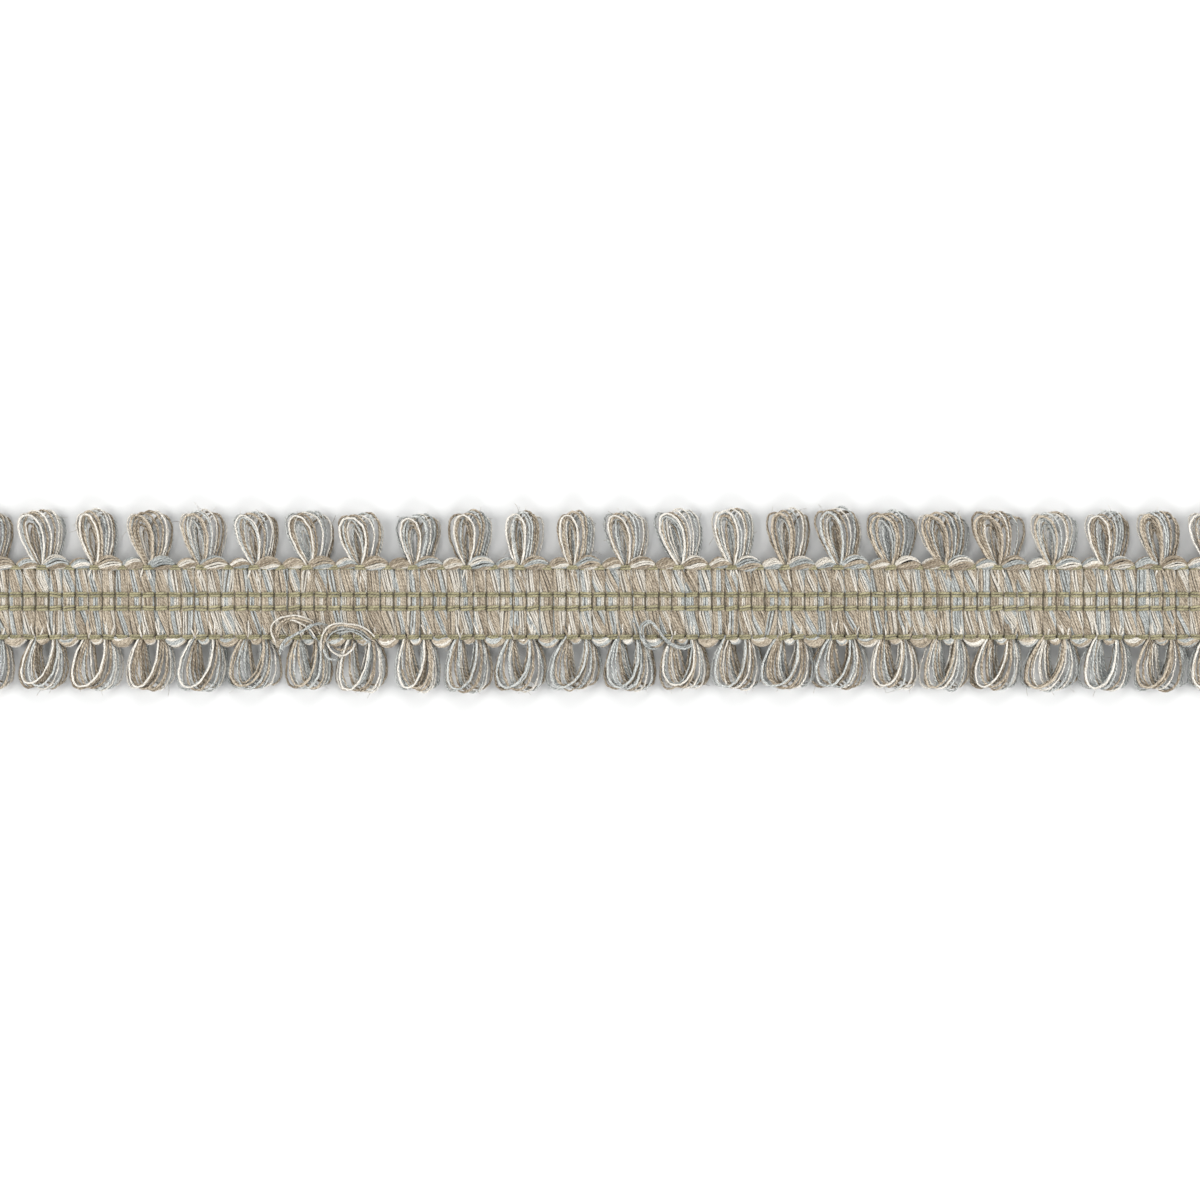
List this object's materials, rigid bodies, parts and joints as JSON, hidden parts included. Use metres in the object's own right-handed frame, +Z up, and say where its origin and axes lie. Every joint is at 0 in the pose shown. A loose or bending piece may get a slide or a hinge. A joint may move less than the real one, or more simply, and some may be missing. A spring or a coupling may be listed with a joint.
{
  "type": "looped decorative tape trim",
  "caption": "Narrow woven gimp braid, cut length lying flat, with ribs of mixed yarn bound by olive thread and a fan of yarn loops along each edge",
  "frame": {"origin": "middle of the woven band's flat underside, halfway along the cut length", "axes": "+X runs along the braid, +Y points to the edge with the narrow upright loops, +Z is up out of the face of the braid"},
  "size_m": [0.2702, 0.0394, 0.0045],
  "materials": {
    "taupe_yarn": "matte slubby yarn in mixed taupe, cream and blue grey",
    "cream_yarn": "smooth cream yarn with a soft sheen, mixed with taupe and blue grey",
    "olive_thread": "fine olive thread laid in pairs"
  },
  "bodies": {
    "root": {"woven_band": "taupe_yarn", "binding_row_1": "olive_thread", "binding_row_2": "olive_thread", "binding_row_3": "olive_thread", "binding_row_4": "olive_thread", "upper_loop_edge": "cream_yarn", "lower_loop_edge": "cream_yarn"}
  },
  "joints": []
}
